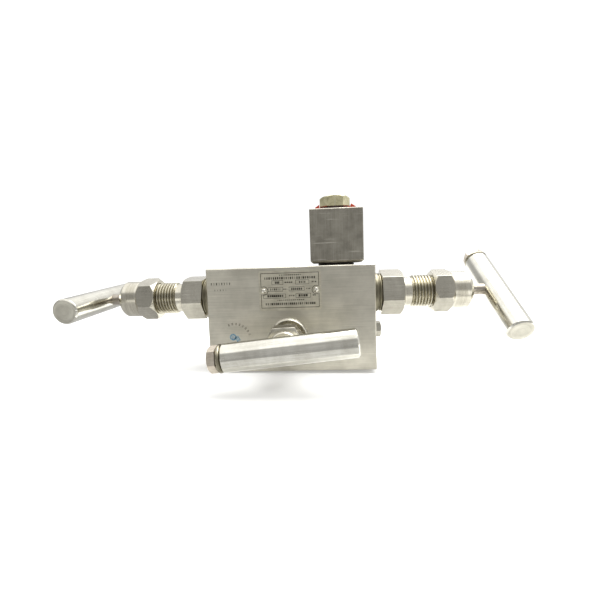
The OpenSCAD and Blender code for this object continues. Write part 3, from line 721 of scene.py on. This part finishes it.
def stem(s):
    """Outline of a stem: spindle, screw and plain shank, with a hole for the needle's tail."""
    tip = s["reach"] + 3.5
    cone = s["screw_r"] - stem_r

    def outline(h):
        return [(0, s["spindle"] + 3.6), (2.25, s["spindle"] + 3.6), (2.25, s["spindle"]),
                (s["spindle_r"], s["spindle"]), (s["spindle_r"], s["screw"][0]),
                (s["screw_r"], s["screw"][0] + 0.3), (s["screw_r"], s["screw"][1]),
                (stem_r, s["screw"][1] + cone), (stem_r, tip - 0.4), (stem_r - 0.4, tip), (0, tip)]

    return outline


# Lock ring: the same steel, darkened by anti-seize paste pressed out round it
greased_ring = worked_metal(
    "lock ring under anti-seize", "#96907c", "#5f5b4c", (0.25, 0.42), (0.4, 6, 6), 0.006, cloud=5,
    along="lathe",
)
# Ground stem: fine even rings, dulled by packing grease
ground_stem = worked_metal(
    "ground stainless stem", "#bab3a7", "#8f877b", (0.24, 0.36), (0.25, 8, 8), 0.003, cloud=4, along="lathe"
)
# Handled nut: the equaliser's hexagon, browned by paste and fingers
browned_hexagon = worked_metal(
    "browned stainless hexagon", "#a8a08e", "#817a68", (0.2, 0.34), (0.3, 6, 6), 0.005, cloud=4,
    along="lathe",
)
for name, valve in valves.items():
    s = small_sizes if valve["small"] else block_sizes
    ring_finish = turned_stainless if valve["small"] else greased_ring
    nut_finish = browned_hexagon if valve["small"] else drawn_hexagon
    place = valve["place"]
    hex_place = place @ turned_about(valve["bonnet_turn"], "Z")
    nut_place = place @ turned_about(valve["nut_turn"], "Z")
    root = s["crest_r"] - thread_depth * s["pitch"]
    bonnet_mesh = joined([
        lathe(bonnet(s), hex_place, [turned_stainless, drawn_hexagon], s["across"]),
        thread(s["crest_r"], root, root - 0.3, s["pitch"], s["neck"], s["end"], place, cut_thread),
    ])
    ring_mesh = lathe(lock_ring(s), place, [ring_finish])
    nut_mesh = lathe(packing_nut(s), nut_place, [turned_stainless, nut_finish], s["nut_across"])
    stem_mesh = lathe(stem(s), place, [ground_stem], closed=False)
    for mesh, piece, form, body, slot in (
        (bonnet_mesh, "bonnet", "threaded", "manifold", "turned_stainless"),
        (ring_mesh, "lock_ring", "grooved", "manifold", "dark_stainless"),
        (nut_mesh, "packing_nut", "capped", "manifold", "turned_stainless"),
        (stem_mesh, "stem", "ground", name + "_handle", "polished_stainless"),
    ):
        turned_piece(mesh, f"{name}_{piece}_{form}", body, f"{name}_{piece}")

# ---- Handles --------------------------------------------------------------
# T-bars of polished round bar, cross-drilled for the stem. A hexagon bolt and
# a spring washer in one end clamp the bar on the stem's shank.

bar_r, bar_half, bar_offset, bar_edge = 7.4, 34.3, 3.6, 0.9
washer_t, head_gap, head_t, bolt_across, shank_r = 1.9, 0.5, 4.2, 12.3, 3
bolt_play, equaliser_bolt_turn = 0.03, -16


def handle_bar(h):
    """Outline of a bar, its ends faced and its tapped hole closed at the stem."""
    hole = shank_r + bolt_play
    return [(0, -bar_offset), (hole, -bar_offset), (hole, -bar_half, 1),
            (bar_r - bar_edge, -bar_half), (bar_r, bar_edge - bar_half), (bar_r, bar_half - bar_edge),
            (bar_r - bar_edge, bar_half, 1), (0, bar_half, 1)]


def handle_washer(h):
    """Outline of a spring washer as wide as the bar."""
    low, high, hole = -bar_half - washer_t, -bar_half, shank_r + bolt_play
    return [(hole, low), (bar_r - 0.5, low), (bar_r, low + 0.5), (bar_r, high - 0.5), (bar_r - 0.5, high),
            (hole, high)]


def handle_bolt(h):
    """Outline of a clamp bolt: hexagon head, collar and a shank that ends on the stem."""
    collar = -bar_half - washer_t - head_gap
    low = bolt_across / 2 * BEVEL_CUT
    tip = -bar_offset - stem_r - bolt_play
    return [(0, collar - head_t), (low, collar - head_t), (h, collar - head_t + (h - low) * 0.55, 1),
            (h, collar), (bolt_across * 0.45, collar), (bolt_across * 0.45, collar + head_gap),
            (shank_r, collar + head_gap), (shank_r, tip), (0, tip)]


# Polished bar: buffed lengthwise, near mirror, with light handling marks
polished_bar = worked_metal(
    "polished stainless bar", "#d9d7cd", "#c2bfb4", (0.11, 0.19), (14, 0.5, 0.5), 0.0035, cloud=8,
    scratches=0.5, along="lathe",
)
# Faced bar end: rings left by the parting tool, duller than the bar's side
faced_end = worked_metal(
    "faced bar end", "#bfbcb0", "#a3a094", (0.3, 0.42), (0.45, 9, 9), 0.006, cloud=5, along="lathe"
)
# Bolt: plain cold-headed stainless, browner and duller than the bar
headed_bolt = worked_metal(
    "cold-headed bolt steel", "#ded5c6", "#beb3a3", (0.26, 0.4), (3, 0.6, 0.6), 0.005, cloud=4,
    along="lathe",
)
# Spring washer: dark heat-treated steel, rubbed bright on its edges
spring_steel = worked_metal(
    "spring washer steel", "#a59f8c", "#6b6655", (0.22, 0.36), (0.4, 5, 5), 0.005, cloud=4, along="lathe"
)
for name, valve in valves.items():
    reach = small_sizes["reach"] if valve["small"] else block_sizes["reach"]
    place = (valve["place"] @ shift(0, 0, reach) @ turned_about(valve["bar_turn"], "Z")
             @ shift(bar_offset, 0, 0) @ turned_about(90, "Y"))
    bolt_place = place @ turned_about(equaliser_bolt_turn if valve["small"] else 0, "Z")
    bar_mesh = lathe(handle_bar, place, [polished_bar, faced_end], closed=False)
    washer_mesh = lathe(handle_washer, place, [spring_steel], ease=0.15)
    bolt_mesh = lathe(handle_bolt, bolt_place, [headed_bolt, headed_bolt], bolt_across, closed=False)
    for mesh, piece, form, slot in (
        (bar_mesh, "handle_bar", "polished", "polished_bar"),
        (washer_mesh, "handle_washer", "sprung", "dark_stainless"),
        (bolt_mesh, "handle_bolt", "headed", "bolt_steel"),
    ):
        turned_piece(mesh, f"{name}_{piece}_{form}", name + "_handle", f"{name}_{piece}")

# ---- Connector block ------------------------------------------------------
# A square block milled from flat bar, screwed down on a nipple over a black
# ring. The cutter left lines up and down its faces, and handling has scratched it.

# Milled bar: deeper upright lines than the body, and a darker skin
milled_block = worked_metal(
    "milled stainless block", "#9f9b8f", "#7f7b71", (0.32, 0.46), (0.4, 0.4, 26), 0.010, cloud=7,
    scratches=0.7,
)
softened("connector_block", "connector_block_milled", "manifold", milled_block, 0.16)

# ---- Blanking plug and its washers ----------------------------------------
# A cold-forged hexagon plug, zinc plated and passivated yellow, tightened down
# on an orange plastic strip, its ends folded up, with a brown sealing ring.


def soft_material(name, light, dark, rough, grain, depth, cloud=5):
    """A plastic or rubber: a colour with a fine grain and slow variation, in mm."""
    made = bpy.data.materials.new(name)
    made.use_nodes = True
    tree = made.node_tree
    tree.nodes.clear()
    place = add(tree, "ShaderNodeTexCoord")
    mm = add(tree, "ShaderNodeVectorMath", [(place, "Object"), (1 / MM,) * 3], operation="MULTIPLY")
    fine = add(tree, "ShaderNodeTexNoise", {"Vector": mm, "Scale": 1 / grain, "Detail": 3})
    slow = add(tree, "ShaderNodeTexNoise", {"Vector": mm, "Scale": 1 / cloud, "Detail": 2})
    shade = add(tree, "ShaderNodeMapRange", {0: slow, 1: 0.35, 2: 0.65})
    colour = add(tree, "ShaderNodeMix", {0: shade, 6: linear(dark), 7: linear(light)}, data_type="RGBA")
    dull = add(tree, "ShaderNodeMapRange", {0: fine, 1: 0.3, 2: 0.7, 3: rough[0], 4: rough[1]})
    bump = add(tree, "ShaderNodeBump", {"Strength": 1, "Distance": depth * MM, "Height": fine})
    skin = add(tree, "ShaderNodeBsdfPrincipled", {
        "Base Color": (colour, 2), "Roughness": dull, "Normal": bump,
    })
    add(tree, "ShaderNodeOutputMaterial", [skin])
    return made


# Yellow-passivated zinc: an olive metal that drifts between green and straw
zinc_yellow = worked_metal(
    "yellow passivated zinc", "#ddd6b0", "#b0aa86", (0.16, 0.28), (2.2, 1.2, 1.2), 0.004, cloud=3.5,
    along="lathe",
)
# Moulded nylon, nitrile rubber and pressed graphite: matt, with a fine grain
orange_nylon = soft_material("orange nylon", "#d24c29", "#b03c24", (0.4, 0.55), 0.4, 0.01)
brown_rubber = soft_material("brown nitrile rubber", "#4a2f26", "#33201a", (0.55, 0.75), 0.3, 0.02)
black_graphite = soft_material("black graphite ring", "#413d36", "#2b2823", (0.5, 0.7), 0.3, 0.02)

block_low, block_high = [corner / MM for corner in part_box("connector_block")]
plug_across, plug_head, plug_tail, plug_r = 16.4, 6.4, 9.5, 7.47
plug_low, strip_top = 2.4, 1.3
plug_place = shift(process_x, 0, block_high.z) @ turned_about(90, "Z")


def plug(h):
    """Outline of the plug: a plain tail in the block and a hexagon head above the strip."""
    low = plug_across / 2 * BEVEL_CUT
    top = plug_low + plug_head
    return [(0, -plug_tail), (plug_r, -plug_tail), (plug_r, plug_low), (h, plug_low),
            (h, top - (h - low) * 0.5), (low, top), (0, top)]


def plug_seal(h):
    """Outline of the sealing ring under the plug's head."""
    inner, outer = 7.53, 8.2
    return [(inner, strip_top), (outer, strip_top), (outer, plug_low), (inner, plug_low)]


def gap_ring(h):
    """Outline of the black gasket that fills the gap between the body and the block; its black is also
    painted shade for that gap.
    """
    height, inner, outer, edge = block_low.z - body_high.z, 8.58, 11.3, 0.3
    return [(inner, 0), (outer - edge, 0), (outer, 0.5), (outer, height - 0.5), (outer - edge, height),
            (inner, height)]


plug_mesh = lathe(plug, plug_place, [zinc_yellow], plug_across, ease=0.25, closed=False)
turned_piece(plug_mesh, "blanking_plug_plated", "manifold", "blanking_plug")
softened("plug_washer", "plug_washer_folded", "manifold", orange_nylon, 0.2)
seal_mesh = lathe(plug_seal, plug_place, [brown_rubber], ease=0.1)
turned_piece(seal_mesh, "plug_seal_ring", "manifold", "plug_seal")
# painted shade: the black ring stands for the gasket and for the shade in the narrow gap under the block
gap_mesh = lathe(gap_ring, shift(process_x, 0, body_high.z), [black_graphite])
turned_piece(gap_mesh, "connector_gasket_ring", "manifold", "connector_gasket")

# ---- Inner pieces ---------------------------------------------------------
# Seats, needles, packing, followers, gaskets and the nipple are as the drawing
# has them. They only need the finish of what they are made of.

plain_turned = worked_metal(
    "plain turned steel", "#cfcbc0", "#aaa69a", (0.22, 0.34), (0.5, 0.5, 0.5), 0.003
)
inner = {
    "seat": plain_turned, "needle": plain_turned, "gland_follower": plain_turned,
    "packing": black_graphite, "bonnet_gasket": black_graphite, "connector_nipple": plain_turned,
}
for name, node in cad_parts.items():
    for kind, material in inner.items():
        if name.endswith(kind):
            node.data.materials.clear()
            node.data.materials.append(material)

# ---- Inspection mark ------------------------------------------------------
# An inspector's ink stamp, a small worn ring in blue, rolled onto the front.

stamp_ink = soft_material("blue stamping ink", "#7393a0", "#3d6782", (0.4, 0.6), 0.5, 0.004, cloud=1.2)


def ink_ring(h):
    """Outline of the stamped ring, a thin film of ink."""
    inner, outer, thick = 1.15, 2.1, 0.02
    return [(inner, 0), (outer, 0), (outer, thick), (inner, thick)]


ink_place = shift(-35.8, front, 21.7) @ turned_about(90, "X")
ink = [
    lathe(ink_ring, ink_place, [stamp_ink], ease=0.005),
    strokes(-36.6, -35.0, 21.6, 1.9, 2, stamp_ink, front, fill=(0.5, 0.8), thick=0.04),
    strokes(-34.4, -31.8, 20.6, 3.2, 3, stamp_ink, front, seed=3, fill=(0.6, 0.8), thick=0.04, turn=-30),
]
show(joined(ink), "inspection_mark", "manifold")

# ---- Floor, light and surroundings ----------------------------------------
# A white table in a light tent. The tent is open on the camera's side, so
# polished faces that look that way mirror a dark room.


def floor_z(x):
    """The table's height. It falls a little to the right, so a dark gap shows under the body there."""
    return -1.4 * MM - 0.019 * x


def flat_sheet(name, corners, lift=0.0):
    """A four-cornered sheet lying on the table, lifted by so many millimetres."""
    sheet = bpy.data.meshes.new(name)
    sheet.from_pydata([(x, y, floor_z(x) + lift * MM) for x, y in corners], [], [(0, 1, 2, 3)])
    return sheet


# White table: matt, and lit a little from below so that shadows stay pale
table = flat_sheet("floor", [(-3, -3), (3, -3), (3, 3), (-3, 3)])
white = bpy.data.materials.new("white table")
white.use_nodes = True
paint = white.node_tree.nodes["Principled BSDF"].inputs
paint["Base Color"].default_value = linear("#dededc")
paint["Roughness"].default_value = 0.9
paint["Emission Color"].default_value = linear("#ffffff")
paint["Emission Strength"].default_value = 0.26
table.materials.append(white)
floor = bpy.data.objects.new("floor", table)
scene.collection.objects.link(floor)

# The tent's brow is 44 to 50 degrees up on the camera's side. Below it is the room.
tent = bpy.data.worlds.new("light tent")
scene.world = tent
tent.use_nodes = True
tree = tent.node_tree
tree.nodes.clear()
way = add(tree, "ShaderNodeSeparateXYZ", [(add(tree, "ShaderNodeTexCoord"), "Generated")])
forward = add(tree, "ShaderNodeMath", [(way, "Y"), -1], operation="MULTIPLY")
climb = add(tree, "ShaderNodeMath", [(way, "Z"), forward], operation="ARCTAN2")
under_brow = add(tree, "ShaderNodeMapRange", {0: climb, 1: math.radians(50), 2: math.radians(44)},
                 interpolation_type="SMOOTHSTEP")
facing = add(tree, "ShaderNodeMapRange", {0: forward, 1: 0.05, 2: 0.3}, interpolation_type="SMOOTHSTEP")
gloom = add(tree, "ShaderNodeMath", [under_brow, facing], operation="MULTIPLY")
# brightest overhead, and dimmer down the left-hand side
height = add(tree, "ShaderNodeMapRange", {0: (way, "Z"), 1: 0.35, 2: 0.8, 3: 1.0, 4: 1.6},
             interpolation_type="SMOOTHSTEP")
side = add(tree, "ShaderNodeMapRange", {0: (way, "X"), 1: -0.35, 2: -0.6}, interpolation_type="SMOOTHSTEP")
low = add(tree, "ShaderNodeMapRange", {0: (way, "Z"), 1: 0.7, 2: 0.4}, interpolation_type="SMOOTHSTEP")
side = add(tree, "ShaderNodeMath", [side, low], operation="MULTIPLY")
shade = add(tree, "ShaderNodeMath", [side, -0.4, 1.0], operation="MULTIPLY_ADD")
tent_level = add(tree, "ShaderNodeMath", [height, shade], operation="MULTIPLY")
room_level = add(tree, "ShaderNodeMath", [shade, 0.58], operation="MULTIPLY")
strength = add(tree, "ShaderNodeMix", {0: gloom, 2: tent_level, 3: room_level}, data_type="FLOAT")
# the camera itself sees plain white behind the object
seen = add(tree, "ShaderNodeLightPath")
level = add(tree, "ShaderNodeMix", {0: (seen, "Is Camera Ray"), 2: strength, 3: 1.1}, data_type="FLOAT")
glow = add(tree, "ShaderNodeBackground", {"Color": linear("#ffffff"), "Strength": level})
add(tree, "ShaderNodeOutputWorld", [glow])


# one soft light overhead, to the right and behind
lamp = bpy.data.lights.new("overhead", "AREA")
lamp.size = 0.9
lamp.energy = 12
light = bpy.data.objects.new("overhead", lamp)
scene.collection.objects.link(light)
light.location = (0.35, 0.15, 0.8)
aim = Vector((0.05, 0, 0))
light.rotation_euler = (aim - light.location).to_track_quat("-Z", "Y").to_euler()


def reflected_card(name, corners, level):
    """A card flat on the table that is seen only in reflections."""
    mesh = flat_sheet(name, corners, lift=0.4)
    tone = bpy.data.materials.new(name)
    tone.use_nodes = True
    tone.node_tree.nodes.clear()
    dim = add(tone.node_tree, "ShaderNodeEmission", {"Color": linear("#ffffff"), "Strength": level})
    add(tone.node_tree, "ShaderNodeOutputMaterial", [dim])
    mesh.materials.append(tone)
    card = bpy.data.objects.new(name, mesh)
    scene.collection.objects.link(card)
    for ray in ("camera", "diffuse", "shadow", "transmission", "volume_scatter"):
        setattr(card, "visible_" + ray, False)


# in order: the table close in front, the table beyond it, and everything to the left
reflected_card("grey_card_near", [(-0.1, -0.066), (0.15, -0.066), (0.15, -0.12), (-0.1, -0.12)], 0.95)
reflected_card("grey_card_front", [(-0.1, -0.12), (0.15, -0.12), (0.9, -2.9), (-0.9, -2.9)], 0.5)
reflected_card("grey_card_left", [(-1.5, -1), (-0.1, -0.12), (-0.07, 0.6), (-1.5, 0.6)], 0.68)

scene.view_settings.view_transform = "Standard"
